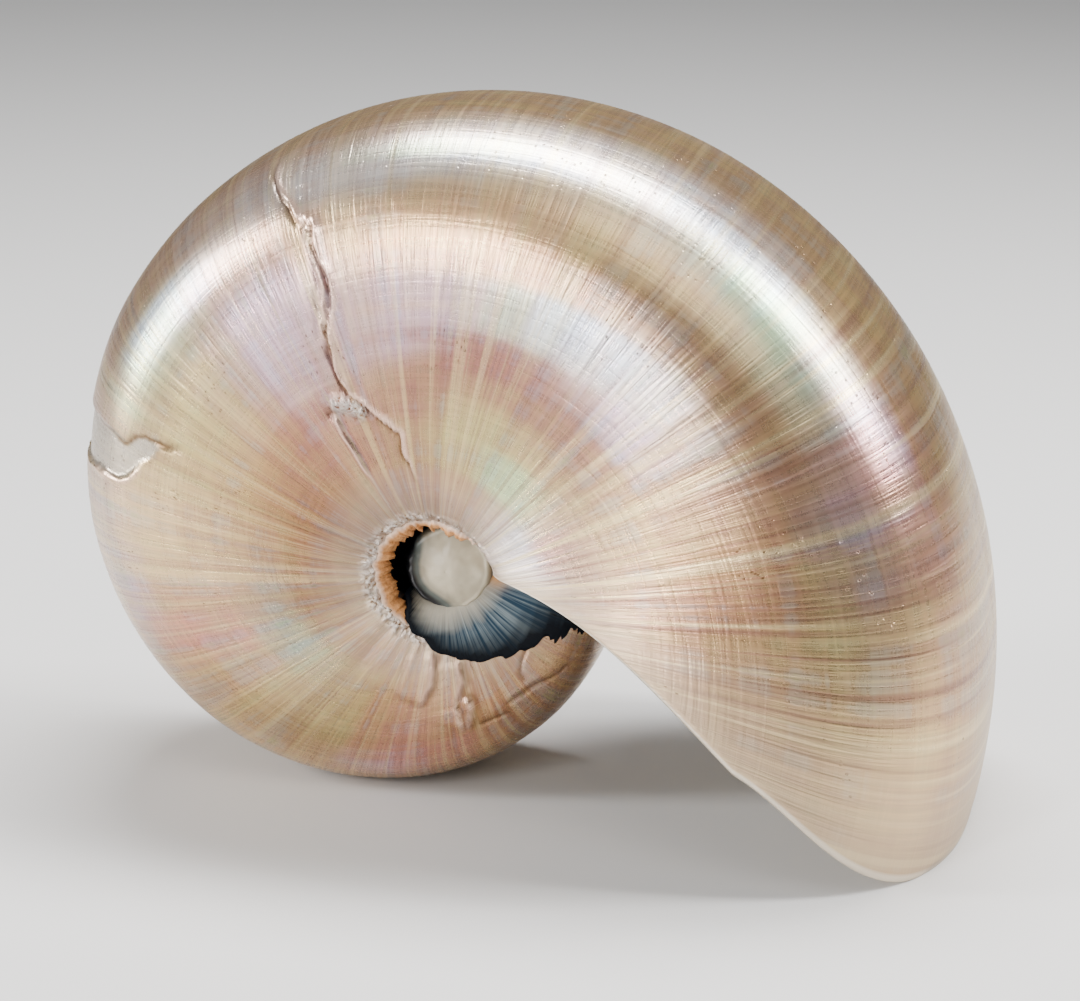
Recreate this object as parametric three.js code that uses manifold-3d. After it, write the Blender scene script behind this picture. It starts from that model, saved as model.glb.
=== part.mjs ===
// A whole pearl nautilus shell, standing on its coil and the two lobes of its lip.
// Millimetres, +Z up. The coiling axis runs along Y and the aperture opens toward +X and down.
// One grown piece: the outer whorl, the open body chamber that ends at its last septum, and the
// closed umbilicus with its callus plug on each flank.
import * as THREE from 'three';
import { mergeVertices } from 'three/addons/utils/BufferGeometryUtils.js';
import Module from 'manifold-3d';

// Driving dimensions, mm, radians and fractions of the whorl's radius.
const LIP_RADIUS = 107;
const GROWTH = 0.2337;
const GROWTH_BEND = 0.0296;
const GROWTH_TWIST = 0.003;
const OLDEST_BENT_TURN = -6.6;
const HALF_WIDTH = 0.44;
const SHOULDER = 0.6;
const UMBILICUS = 0.14;
const UMBILICAL_WIDTH = 0.76;
const UMBILICUS_SHIFT = [7.5, -5.1];
const VENTER_POWER = 2.95;
const SHOULDER_POWER = 2.55;
const LIP_TURN_DEG = -13.1;
const LIP_WAVES_DEG = [20.45, -8.87, 1.05, -0.07];
const LIP_WAVE_REACH = 2.3;
const WALL = 1.8;
const INNER_LIP = 1.0;
const CHAMBER_TURN = 2.5;
const SEPTUM_DEPTH_TURN = 0.36;
const SEPTUM_RINGS = 5;
const CHAMBER_OVERRUN = 0.5;
const PLUG_RADIUS = 14;
const PLUG_HALF_LENGTH = 17;
const PLUG_DOME = 5;
const STATION_STEP = 0.15;
const HALF_LOOP_POINTS = 16;
const FOOT_WORN = 0.45;
const MERGE_DISTANCE = 0.01;
const SHELL_COLOUR = 0xc9b79c;
const SHELL_ROUGHNESS = 0.28;

const wasm = await Module();
wasm.setup();

// Radius of the venter at turn g: g is 0 at the lip's mean line and negative toward the apex.
function venterRadius(g) {
  const bent = Math.max(g, OLDEST_BENT_TURN);
  const older = g - bent;
  const slope = GROWTH + 2 * GROWTH_BEND * bent + 3 * GROWTH_TWIST * bent * bent;
  const power = GROWTH * bent + GROWTH_BEND * bent ** 2 + GROWTH_TWIST * bent ** 3;
  return LIP_RADIUS * Math.exp(power + slope * older);
}

// One point of the half section: t is 0 at the venter, a right angle where the whorl is widest
// and pi at the umbilical rim. The result is the distance from the axis and the half width.
function sectionPoint(t, g, inset) {
  const radius = venterRadius(g);
  const centre = SHOULDER * radius;
  const halfWidth = HALF_WIDTH * radius - inset;
  const c = Math.abs(Math.cos(t));
  const s = Math.max(0, Math.sin(t));
  if (t < Math.PI / 2) {
    const reach = (1 - SHOULDER) * radius - inset;
    return [centre + reach * c ** (2 / VENTER_POWER), halfWidth * s ** (2 / SHOULDER_POWER)];
  }
  const reach = (SHOULDER - UMBILICUS) * radius - inset;
  return [centre - reach * c, halfWidth * (UMBILICAL_WIDTH + (1 - UMBILICAL_WIDTH) * s)];
}

// Section parameters that step evenly along the outline of one half section.
function evenParameters(count) {
  const fine = 4000;
  const lengths = [0];
  let last = sectionPoint(0, 0, 0);
  for (let i = 1; i <= fine; i += 1) {
    const next = sectionPoint((Math.PI * i) / fine, 0, 0);
    lengths.push(lengths[i - 1] + Math.hypot(next[0] - last[0], next[1] - last[1]));
    last = next;
  }
  const parameters = [];
  let i = 0;
  for (let k = 0; k <= count; k += 1) {
    const wanted = (lengths[fine] * k) / count;
    while (i < fine && lengths[i] < wanted) i += 1;
    parameters.push((Math.PI * i) / fine);
  }
  return parameters;
}

// The lip's line: how far the growing edge runs ahead of its mean turn at each section parameter.
function lipWave(t) {
  let wave = 0;
  LIP_WAVES_DEG.forEach((size, k) => {
    wave += size * Math.cos((k + 1) * t);
  });
  return THREE.MathUtils.degToRad(wave);
}

function smoothStep(x) {
  const clamped = Math.min(1, Math.max(0, x));
  return clamped * clamped * (3 - 2 * clamped);
}

const HALF_LOOP = evenParameters(HALF_LOOP_POINTS);
const LOOP = [
  ...HALF_LOOP.map((t) => [t, -1]),
  ...HALF_LOOP.slice(1).reverse().map((t) => [t, 1]),
];

// A closed ring of points: the section at turn g, swung to its place round the coiling axis,
// with its edge waved like the lip as it nears the lip. shrink pulls it toward its middle.
// The umbilicus lies a little off the spiral's centre, and the section leans toward it.
function ring(g, inset, shrink) {
  const waved = smoothStep((g + LIP_WAVE_REACH) / LIP_WAVE_REACH);
  return LOOP.map(([t, side]) => {
    const turn = g + waved * lipWave(t);
    const [r, w] = sectionPoint(t, turn, inset);
    const whorl = venterRadius(turn);
    const radius = SHOULDER * whorl + shrink * (r - SHOULDER * whorl);
    const lean = 1 - radius / whorl;
    const angle = THREE.MathUtils.degToRad(LIP_TURN_DEG) - turn;
    return [
      radius * Math.cos(angle) + UMBILICUS_SHIFT[0] * lean,
      side * shrink * w,
      radius * Math.sin(angle) + UMBILICUS_SHIFT[1] * lean,
    ];
  });
}

// A closed solid skinned over rings, with a fan on each end.
function skin(rings) {
  const count = rings[0].length;
  const positions = rings.flat(2);
  const triangles = [];
  for (let j = 0; j + 1 < rings.length; j += 1) {
    for (let i = 0; i < count; i += 1) {
      const a = j * count + i;
      const b = j * count + ((i + 1) % count);
      triangles.push(a, b, b + count, a, b + count, a + count);
    }
  }
  const ends = [rings[0], rings[rings.length - 1]];
  ends.forEach((end, which) => {
    const hub = positions.length / 3;
    const base = which === 0 ? 0 : (rings.length - 1) * count;
    for (let axis = 0; axis < 3; axis += 1) {
      positions.push(end.reduce((sum, p) => sum + p[axis], 0) / count);
    }
    for (let i = 0; i < count; i += 1) {
      const a = base + i;
      const b = base + ((i + 1) % count);
      if (which === 0) triangles.push(hub, b, a);
      else triangles.push(hub, a, b);
    }
  });
  const geometry = new THREE.BufferGeometry();
  geometry.setAttribute('position', new THREE.Float32BufferAttribute(positions, 3));
  geometry.setIndex(triangles);
  return toSolid(geometry);
}

function toSolid(geometry) {
  geometry.deleteAttribute('normal');
  geometry.deleteAttribute('uv');
  const merged = mergeVertices(geometry, MERGE_DISTANCE);
  const mesh = new wasm.Mesh({
    numProp: 3,
    vertProperties: merged.attributes.position.array,
    triVerts: new Uint32Array(merged.index.array),
  });
  const solid = new wasm.Manifold(mesh);
  if (solid.volume() > 0) return solid;
  throw new Error('a solid is inside out');
}

function toGeometry(solidBody) {
  const mesh = solidBody.getMesh();
  const surface = new THREE.BufferGeometry();
  surface.setAttribute('position', new THREE.BufferAttribute(mesh.vertProperties, 3));
  surface.setIndex(new THREE.BufferAttribute(mesh.triVerts, 1));
  return surface;
}

// A stretch of the whorl between two turns.
function tube(from, to, inset) {
  const steps = Math.ceil((to - from) / STATION_STEP);
  const rings = [];
  for (let j = 0; j <= steps; j += 1) {
    rings.push(ring(from + ((to - from) * j) / steps, inset, 1));
  }
  return skin(rings);
}

// The body chamber: the hollow of the last whorl, closed behind by a septum that is a bowl.
function bodyChamber() {
  const rings = [];
  for (let k = 1; k < SEPTUM_RINGS; k += 1) {
    const angle = (Math.PI / 2) * (1 - k / SEPTUM_RINGS);
    const turn = -CHAMBER_TURN - SEPTUM_DEPTH_TURN * Math.sin(angle);
    rings.push(ring(turn, WALL, Math.cos(angle)));
  }
  const steps = Math.ceil((CHAMBER_TURN + CHAMBER_OVERRUN) / STATION_STEP);
  for (let j = 0; j <= steps; j += 1) {
    rings.push(ring(-CHAMBER_TURN + ((CHAMBER_TURN + CHAMBER_OVERRUN) * j) / steps, WALL, 1));
  }
  return skin(rings);
}

// The callus plug that closes the umbilicus from flank to flank.
function callusPlug() {
  const profile = [new THREE.Vector2(0, -PLUG_HALF_LENGTH)];
  for (let k = 1; k <= 4; k += 1) {
    const a = (Math.PI / 8) * k;
    const length = PLUG_HALF_LENGTH - PLUG_DOME * (1 - Math.cos(a));
    profile.push(new THREE.Vector2(PLUG_RADIUS * Math.sin(a), -length));
  }
  const upper = profile.map((p) => new THREE.Vector2(p.x, -p.y)).reverse();
  const plug = new THREE.LatheGeometry([...profile, ...upper], 22);
  plug.translate(UMBILICUS_SHIFT[0], 0, UMBILICUS_SHIFT[1]);
  return toSolid(plug);
}

// Faces that nearly coincide leave flakes behind a join or a cut, and this drops them.
function largestBody(joined) {
  return joined.decompose().sort((a, b) => b.volume() - a.volume())[0];
}

const FULL_TURN = 2 * Math.PI;
const CUTS = [-FULL_TURN - 2.8, -FULL_TURN - 0.2, -4.2, -2.2, 0];
let solid = callusPlug();
for (let k = 0; k + 1 < CUTS.length; k += 1) {
  solid = solid.add(tube(CUTS[k], CUTS[k + 1], 0));
}
const olderWhorl = tube(-FULL_TURN - CHAMBER_TURN - 0.5, -FULL_TURN + 0.7, -INNER_LIP);
solid = solid.subtract(largestBody(bodyChamber().subtract(olderWhorl)));
// The coil and the lobes of the lip are worn a little flat where the shell stands on them.
solid = solid.trimByPlane([0, 0, 1], solid.boundingBox().min[2] + FOOT_WORN);

const geometry = toGeometry(largestBody(toSolid(toGeometry(solid))));
geometry.computeBoundingBox();
const box = geometry.boundingBox;
geometry.translate(-(box.min.x + box.max.x) / 2, 0, -box.min.z);
geometry.computeVertexNormals();

const shell = new THREE.Mesh(
  geometry,
  new THREE.MeshStandardMaterial({
    color: SHELL_COLOUR,
    roughness: SHELL_ROUGHNESS,
    metalness: 0,
  }),
);
shell.name = 'shell';

const group = new THREE.Group();
group.add(shell);
export default group;
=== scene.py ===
"""A pearl nautilus shell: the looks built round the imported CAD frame. Metres, +Z up."""
import math

import bpy
import numpy as np
from mathutils import Euler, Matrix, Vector


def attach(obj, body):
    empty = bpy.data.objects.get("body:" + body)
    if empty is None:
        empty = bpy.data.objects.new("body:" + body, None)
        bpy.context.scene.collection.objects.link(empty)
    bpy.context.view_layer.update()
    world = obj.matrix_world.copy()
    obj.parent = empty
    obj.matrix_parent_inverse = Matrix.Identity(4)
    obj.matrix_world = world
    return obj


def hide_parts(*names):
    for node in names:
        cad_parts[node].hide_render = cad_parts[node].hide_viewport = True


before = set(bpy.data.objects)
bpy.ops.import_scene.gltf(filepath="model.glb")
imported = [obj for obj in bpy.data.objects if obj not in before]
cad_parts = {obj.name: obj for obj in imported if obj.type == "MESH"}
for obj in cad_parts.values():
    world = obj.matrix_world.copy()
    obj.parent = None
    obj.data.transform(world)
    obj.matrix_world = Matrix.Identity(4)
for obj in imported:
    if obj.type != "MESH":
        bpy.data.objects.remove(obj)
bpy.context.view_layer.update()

MM = 0.001
TURN = 2 * math.pi

# The growth of the shell, as in the CAD source: mm, radians and fractions of the whorl's radius.
LIP_RADIUS = 107.0
GROWTH = (0.2337, 0.0296, 0.003)
OLDEST_BENT_TURN = -6.6
HALF_WIDTH = 0.44
SHOULDER = 0.6
UMBILICUS = 0.14
UMBILICAL_WIDTH = 0.76
UMBILICUS_SHIFT = (7.5, -5.1)
VENTER_POWER = 2.95
SHOULDER_POWER = 2.55
LIP_TURN = math.radians(-13.1)
LIP_WAVES = (20.45, -8.87, 1.05, -0.07)
LIP_WAVE_REACH = 2.3
CHAMBER_TURN = 2.5
SEPTUM_DEPTH = 0.36
FOOT_WORN = 0.45

# The umbilical wall leans in by this share, and its rim is rounded over a few outline points.
WALL_LEAN = 0.35
RIM_REACH = 3.0
RIM_ROUNDS = 6

NEAR, FAR = -1, 1


# ---------------------------------------------------------------- shell mathematics
def venter_radius(g):
    bent = np.maximum(g, OLDEST_BENT_TURN)
    a, b, c = GROWTH
    slope = a + 2 * b * bent + 3 * c * bent**2
    return LIP_RADIUS * np.exp(a * bent + b * bent**2 + c * bent**3 + slope * (g - bent))


def unit_section(t):
    """Distance from the axis and half width, in whorl radii. t is 0 at the venter, pi at the rim."""
    c, s = np.abs(np.cos(t)), np.maximum(np.sin(t), 0)
    venter = t < math.pi / 2
    rho = np.where(
        venter,
        SHOULDER + (1 - SHOULDER) * c ** (2 / VENTER_POWER),
        SHOULDER - (SHOULDER - UMBILICUS) * c,
    )
    flank = UMBILICAL_WIDTH + (1 - UMBILICAL_WIDTH) * s
    wide = HALF_WIDTH * np.where(venter, s ** (2 / SHOULDER_POWER), flank)
    return rho, wide


def lip_wave(t):
    return np.radians(sum(a * np.cos((k + 1) * t) for k, a in enumerate(LIP_WAVES)))


def smooth(x, low=0.0, high=1.0):
    u = np.clip((np.asarray(x, float) - low) / (high - low), 0, 1)
    return u * u * (3 - 2 * u)


def half_section(flank_points, wall_points):
    """The half outline from the venter over the flank and down the umbilical wall to mid-plane:
    (t, rho, wide), stepped evenly, with the rim rounded."""
    t = np.linspace(0, math.pi, 6000)
    rho, wide = unit_section(t)
    run = np.concatenate([[0], np.cumsum(np.hypot(np.diff(rho), np.diff(wide)))])
    even = np.interp(np.linspace(0, run[-1], flank_points), run, t)
    rho, wide = unit_section(even)
    down = np.linspace(0, 1, wall_points + 1)[1:]
    wall_rho = UMBILICUS * (1 - WALL_LEAN * smooth(down, 0, 0.6))
    rho = np.concatenate([rho, wall_rho])
    wide = np.concatenate([wide, wide[-1] * (1 - down)])
    t = np.concatenate([even, np.full(wall_points, math.pi)])
    near_rim = np.exp(-(((np.arange(len(rho)) - flank_points) / RIM_REACH) ** 2))
    for _ in range(RIM_ROUNDS):
        for line in (rho, wide):
            middle = (line[:-2] + 2 * line[1:-1] + line[2:]) / 4
            line[1:-1] += near_rim[1:-1] * (middle - line[1:-1])
    return t, rho, wide


class Loop:
    """One closed outline of the whorl: the near half from the venter in to mid-plane, then the
    coarser far half back out to the venter."""

    def __init__(self, near_points, far_points):
        near, far = half_section(*near_points), half_section(*far_points)
        self.t, self.rho, self.wide = (
            np.concatenate([n, f[-2:0:-1]]) for n, f in zip(near, far)
        )
        self.side = np.concatenate([np.full(len(near[0]), NEAR), np.full(len(far[0]) - 2, FAR)])
        y = self.side * self.wide
        tangent = np.stack([np.roll(self.rho, -1) - np.roll(self.rho, 1), np.roll(y, -1) - np.roll(y, 1)], -1)
        tangent /= np.linalg.norm(tangent, axis=-1, keepdims=True)
        self.inward = np.stack([tangent[:, 1], -tangent[:, 0]], -1)
        if self.inward[0, 0] > 0:
            self.inward *= -1
        reaches = []
        for (t, rho, wide), (flank, _) in ((near, near_points), (far, far_points)):
            reach = np.concatenate([[0], np.cumsum(np.hypot(np.diff(rho), np.diff(wide)))])
            reaches.append(reach / reach[flank - 1])
        self.q = np.concatenate([reaches[0], reaches[1][-2:0:-1]])
        self.count = len(self.t)


def place(loop, s, inset, shrink=1.0):
    """Points of the outline at growth stations s: an array (stations, outline, 3) in mm."""
    s = np.asarray(s, float)[:, None]
    inset = np.broadcast_to(np.asarray(inset, float).reshape(-1, 1), s.shape)
    shrink = np.broadcast_to(np.asarray(shrink, float).reshape(-1, 1), s.shape)
    g = s + smooth(s + LIP_WAVE_REACH, 0, LIP_WAVE_REACH) * lip_wave(loop.t)[None]
    radius = venter_radius(g)
    r = radius * loop.rho + inset * loop.inward[:, 0]
    y = radius * loop.side * loop.wide + inset * loop.inward[:, 1]
    r = radius * SHOULDER + shrink * (r - radius * SHOULDER)
    y = shrink * y
    lean = 1 - r / radius
    angle = LIP_TURN - g
    x = r * np.cos(angle) + UMBILICUS_SHIFT[0] * lean
    z = r * np.sin(angle) + UMBILICUS_SHIFT[1] * lean
    return np.stack([x, y, z], -1), g


# ---------------------------------------------------------------- seeded relief noise
def value_noise(x, y, seed):
    """Smooth random values between -1 and 1 over a lattice of whole numbers."""
    x, y = np.broadcast_arrays(np.asarray(x, float), np.asarray(y, float))
    table = np.random.default_rng(seed).uniform(-1, 1, (256, 256))
    ix, iy = np.floor(x).astype(int), np.floor(y).astype(int)
    fx, fy = smooth(x - ix), smooth(y - iy)
    pick = lambda i, j: table[i % 256, j % 256]
    low = pick(ix, iy) * (1 - fx) + pick(ix + 1, iy) * fx
    high = pick(ix, iy + 1) * (1 - fx) + pick(ix + 1, iy + 1) * fx
    return low * (1 - fy) + high * fy


def path_distance(x, z, path):
    """Signed distance in mm from a path in the XZ plane (positive on its left side going along
    it), and how far along the path the nearest point lies, from 0 to 1."""
    path = np.asarray(path, float)
    best = np.full(x.shape, 1e9)
    sign = np.ones(x.shape)
    along = np.zeros(x.shape)
    lengths = np.hypot(*np.diff(path, axis=0).T)
    total, before = lengths.sum(), 0.0
    for (ax, az), (bx, bz), length in zip(path[:-1], path[1:], lengths):
        ux, uz = (bx - ax) / length, (bz - az) / length
        u = np.clip((x - ax) * ux + (z - az) * uz, 0, length)
        dx, dz = x - ax - u * ux, z - az - u * uz
        d = np.hypot(dx, dz)
        closer = d < best
        best = np.where(closer, d, best)
        sign = np.where(closer, np.sign(ux * dz - uz * dx), sign)
        along = np.where(closer, (before + u) / total, along)
        before += length
    return best * sign, along


# Scars on the near flank, as paths in the XZ plane of the frame, mm.
MAIN_SCAR = [(-44, 117), (-44, 113), (-40, 110), (-38, 108), (-35, 108), (-34, 104), (-31, 98.5),
             (-30.5, 95.5), (-31, 90), (-31, 86), (-30, 82), (-28, 79), (-24.5, 76), (-21, 74),
             (-18.5, 72.5), (-18.5, 70), (-17, 65.5), (-15.8, 62)]
TWIN_SCAR = [(-34, 102), (-32.2, 97.5), (-32.6, 92), (-32.2, 86.5)]
PATCH_EDGE = [(-31.5, 77), (-30.5, 74), (-29, 70.5), (-26.5, 66.5), (-24, 62)]
PATCH_ROUGH = [(-31.5, 76), (-28, 76.3), (-24.5, 75.3)]
CHIP_TOP = [(-77, 68), (-73, 66.5), (-70.5, 65), (-67.8, 66.4), (-66, 66.8), (-63, 65.8), (-58.5, 65.6)]
CHIP_BOTTOM = [(-77, 59), (-72, 57.8), (-70, 58.5), (-67, 61.4)]
BELLY_RIDGES = [
    [(-15.3, 29), (-15, 26), (-15.4, 22.4), (-17.6, 18)],
    [(-10.5, 28), (-9.4, 23.7), (-10.1, 21.8), (-10.9, 19), (-10.1, 17), (-9, 13.5)],
    [(-9.5, 21), (-8.1, 20), (-8.4, 17), (-8.8, 14.2)],
]
BELLY_CRACKS = [
    [(1.4, 30.5), (0.7, 28), (0.6, 25.6), (1.6, 24)],
    [(-7, 15.7), (-5, 16.5), (-1.4, 18.4)],
    [(-2, 19.5), (3.2, 23.6), (7.3, 25.6), (9, 28)],
]
PATCH_PIT = (-31.2, 74.6)
# The turn and the section angle, degrees, where the tiny pits are thickest.
PITS_AT = (-88, 30)


def wander(x, z, seed, size=0.9, reach=2.6):
    """A small random offset, mm, that keeps the paths from looking drawn."""
    fine = value_noise(x / reach, z / reach, seed) + 0.5 * value_noise(x, z, seed + 1)
    return size * fine


# ---------------------------------------------------------------- the play of colour
TAN = (0.40, 0.275, 0.16)
VENTER_SHADE_GOLD = (0.38, 0.28, 0.12)
PAINTED_HIGHLIGHT_WHITE = (0.97, 0.95, 0.92)
CREAM = (0.95, 0.77, 0.44)
GOLD = (0.62, 0.50, 0.22)
OLIVE = (0.38, 0.40, 0.17)
PEACH = (1.0, 0.62, 0.36)
ROSE = (0.74, 0.33, 0.30)
LILAC = (0.62, 0.52, 0.68)
HIGHLIGHT_FRINGE_SKY = (0.58, 0.78, 0.98)
MINT = (0.46, 0.84, 0.50)
TEAL = (0.28, 0.52, 0.40)
MAUVE = (0.22, 0.11, 0.09)
BROWN = (0.25, 0.13, 0.05)

# Soft tints of the nacre: turn and section angle in degrees, reach of each, colour, strength. The white tints
# are painted highlights, and the small sky blue tints, with some small mint and lilac ones, paint rainbow
# fringes along them.
TINTS = [
    (-92, 40, 24, 12, PAINTED_HIGHLIGHT_WHITE, 0.9), (-112, 50, 12, 9, PAINTED_HIGHLIGHT_WHITE, 0.9), (-75, 30, 16, 9, PAINTED_HIGHLIGHT_WHITE, 0.7),
    (-102, 66, 18, 8, CREAM, 0.7), (-72, 54, 20, 8, CREAM, 0.8), (-60, 39, 12, 9, PAINTED_HIGHLIGHT_WHITE, 0.6),
    (-92, 72, 18, 8, PEACH, 1.0), (-94, 88, 20, 7, LILAC, 0.8), (-62, 88, 12, 8, PAINTED_HIGHLIGHT_WHITE, 0.8),
    (-79, 86, 5, 5, MINT, 0.5), (-84, 102, 18, 9, MAUVE, 0.95), (-60, 104, 12, 6, MAUVE, 0.5),
    (-92, 104, 16, 9, MAUVE, 0.7), (-78, 124, 16, 9, OLIVE, 0.8), (-55, 121, 12, 8, GOLD, 0.6),
    (-47, 44, 9, 8, MINT, 0.9), (-38, 47, 8, 8, TEAL, 0.7), (-28, 42, 8, 12, ROSE, 0.7),
    (-20, 76, 7, 26, MAUVE, 0.55), (-9, 70, 8, 16, OLIVE, 0.5), (3, 62, 9, 26, CREAM, 0.5),
    (-17, 93, 7, 10, BROWN, 0.5), (-35, 111, 8, 12, GOLD, 0.6), (-38, 150, 15, 20, PAINTED_HIGHLIGHT_WHITE, 1.0),
    (-36, 128, 6, 9, ROSE, 0.5), (-141, 56, 14, 9, PAINTED_HIGHLIGHT_WHITE, 0.8), (-154, 60, 11, 9, MINT, 0.7),
    (-133, 86, 10, 13, LILAC, 0.8), (-128, 63, 8, 9, PEACH, 0.5), (-140, 112, 11, 10, ROSE, 0.7),
    (-138, 114, 13, 11, MAUVE, 0.8), (-160, 82, 11, 11, OLIVE, 0.6), (-188, 74, 15, 13, CREAM, 0.7),
    (-166, 104, 14, 11, GOLD, 0.6), (-160, 112, 16, 9, BROWN, 0.5), (-176, 132, 28, 15, BROWN, 1.0),
    (-225, 128, 24, 12, BROWN, 0.7), (-218, 78, 9, 15, ROSE, 0.8), (-237, 76, 9, 14, GOLD, 0.7),
    (-228, 106, 16, 12, TEAL, 0.7), (-236, 118, 20, 12, BROWN, 0.6), (-262, 88, 12, 16, OLIVE, 0.7),
    (-272, 92, 12, 14, BROWN, 0.6), (-285, 70, 12, 16, ROSE, 0.6), (-312, 84, 12, 20, BROWN, 0.7),
    (-200, 45, 24, 12, PAINTED_HIGHLIGHT_WHITE, 0.5), (-250, 45, 22, 14, CREAM, 0.5), (-86, 44, 9, 4, HIGHLIGHT_FRINGE_SKY, 0.7),
    (-98, 37, 8, 4, MINT, 0.5), (-68, 84, 6, 4, HIGHLIGHT_FRINGE_SKY, 0.7), (-55, 94, 6, 3, LILAC, 0.7),
    (-151, 52, 8, 4, HIGHLIGHT_FRINGE_SKY, 0.7), (-143, 62, 8, 4, LILAC, 0.6), (-57, 33, 8, 4, HIGHLIGHT_FRINGE_SKY, 0.6),
    (-33, 36, 7, 5, LILAC, 0.7), (-44, 138, 8, 6, HIGHLIGHT_FRINGE_SKY, 0.5), (-62, 128, 8, 6, MINT, 0.6),
    (-70, 64, 9, 4, GOLD, 0.6), (-206, 60, 8, 6, LILAC, 0.5), (-276, 62, 9, 6, LILAC, 0.5),
    (-22, 60, 6, 9, LILAC, 0.5), (-112, 148, 34, 10, MAUVE, 0.5), (-240, 150, 40, 10, CREAM, 0.4),
]
FAR_TINT_TURN = 17.0


def blend(colour, other, amount):
    return colour + (np.asarray(other) - colour) * amount[..., None]


def nacre_tint(g, q, t, side):
    """The slow changes of the nacre's colour over the shell, streaked along the growth lines, with painted
    highlights and the venter painted darker gold as shade.
    """
    streak = value_noise(g * 30, q * 1.7 + side * 7, 91) + 0.6 * value_noise(g * 75, q * 3 + side, 92)
    drift = value_noise(g * 3.4, q * 5 + side * 3, 93)
    thread = value_noise(g * 1.6, q * 42 + side * 3, 94)
    turn = np.degrees(g) + 4.5 * streak + 5 * drift + np.where(side > 1.5, FAR_TINT_TURN, 0)
    angle = np.degrees(t) + 5 * value_noise(g * 2.7, q * 4 + side * 5, 95) + 4.5 * thread
    colour = np.ones(g.shape + (3,)) * TAN
    # Painted shade: the venter darkens to gold, as it looks at a grazing angle.
    colour = blend(colour, VENTER_SHADE_GOLD, smooth(-angle, -30, -8) * 0.9)
    for turn_at, angle_at, turn_reach, angle_reach, tint, strength in TINTS:
        away = ((turn - turn_at) / turn_reach) ** 2 + ((angle - angle_at) / angle_reach) ** 2
        colour = blend(colour, tint, strength * np.exp(-0.6 * away))
    return np.clip(colour, 0, 1)


# ---------------------------------------------------------------- mesh helpers
def make_object(name, points, faces, material, attributes=None):
    mesh = bpy.data.meshes.new(name)
    mesh.from_pydata((np.asarray(points) * MM).tolist(), [], faces)
    mesh.validate()
    for key, values in (attributes or {}).items():
        values = np.asarray(values, np.float32)
        kind = "FLOAT" if values.ndim == 1 else "FLOAT_VECTOR"
        layer = mesh.attributes.new(key, kind, "POINT")
        layer.data.foreach_set("value" if kind == "FLOAT" else "vector", values.ravel())
    mesh.polygons.foreach_set("use_smooth", np.ones(len(mesh.polygons), bool))
    mesh.update()
    obj = bpy.data.objects.new(name, mesh)
    bpy.context.scene.collection.objects.link(obj)
    obj.data.materials.append(material)
    return obj


def tube_faces(rows, count, first=0):
    j, i = np.meshgrid(np.arange(rows - 1), np.arange(count), indexing="ij")
    a = first + j * count + i
    b = first + j * count + (i + 1) % count
    return np.stack([a, b, b + count, a + count], -1).reshape(-1, 4).tolist()


def capped_tube(rows, count):
    """Faces of a tube whose last two vertices are the middles of its first and last rows."""
    faces = tube_faces(rows, count)
    last, first_hub, last_hub = (rows - 1) * count, rows * count, rows * count + 1
    for i in range(count):
        k = (i + 1) % count
        faces.append((first_hub, k, i))
        faces.append((last_hub, last + i, last + k))
    return faces


def vertex_normals(grid):
    """Outward normals of a closed tube grid (rows, outline, 3)."""
    along = np.gradient(grid, axis=0)
    round_ = np.roll(grid, -1, 1) - np.roll(grid, 1, 1)
    n = np.cross(round_, along)
    n /= np.maximum(np.linalg.norm(n, axis=-1, keepdims=True), 1e-9)
    return n


# ---------------------------------------------------------------- the shell
LIP_WALL = 1.3
CHAMBER_WALL = 2.0
FILM_THICKNESS = 0.35
# The wall thins over this much growth behind the lip, and the lip's edge bulges by a half circle.
THIN_REACH = 0.35
LIP_STEPS = 7
LIP_BULGE = math.radians(0.55)
OUTLINE = Loop((116, 7), (58, 4))
FIRST_STATION = -TURN - 2.9
# First and last turn, degrees, and the stations a radian gains there.
FINE_STRETCHES = ((-129, -100, 200), (-186, -164, 110), (-350, -262, 18), (-12, 0, 30))


def stations():
    """Growth stations of the outer surface, closer together where the relief is fine."""
    s = np.linspace(FIRST_STATION, 0, 4000)
    density = 16 + 20 * smooth(s, -7.0, -6.5)
    for first, last, extra in FINE_STRETCHES:
        first, last = math.radians(first), math.radians(last)
        rise = smooth(s, first - 0.06, first + 0.06)
        density = density + extra * rise * smooth(-s, -last - 0.06, -last + 0.06)
    run = np.concatenate([[0], np.cumsum((density[1:] + density[:-1]) / 2 * np.diff(s))])
    return np.interp(np.linspace(0, run[-1], int(run[-1])), run, s)


def frame_shift():
    """How far the bare shell moves to lie in the CAD box, centred in X and standing at Z 0."""
    points, _ = place(OUTLINE, np.linspace(-TURN, 0, 500), 0)
    flat = points.reshape(-1, 3)
    low, high = flat.min(0), flat.max(0)
    return np.array([-(low[0] + high[0]) / 2, 0, -low[2] - FOOT_WORN])


SHIFT = frame_shift()
HUB = np.array([UMBILICUS_SHIFT[0] + SHIFT[0], UMBILICUS_SHIFT[1] + SHIFT[2]])


HOLE_RADIUS = 11.4
HOLE_FROM, HOLE_TO = math.radians(48), math.radians(238)
HOLE_DROP = 7.5
FLANK_BEYOND = 8
RUST_AT = (9.2, -0.6)


def hole_radius(angle, side):
    """Radius in mm of the broken umbilical rim round the hub, ragged along its edge."""
    ragged = value_noise(angle * 9, side * 3.1, 65) + 0.6 * value_noise(angle * 23, side * 5.3, 66)
    return HOLE_RADIUS + 0.35 * ragged


def hole_reach(angle):
    """1 where the rim is a broken wall, falling to 0 where the older whorl sweeps into the hole."""
    turn = np.mod(angle, TURN)
    return smooth(turn, HOLE_FROM, HOLE_FROM + 0.35) * smooth(-turn, -HOLE_TO, -HOLE_TO + 0.25)


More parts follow.
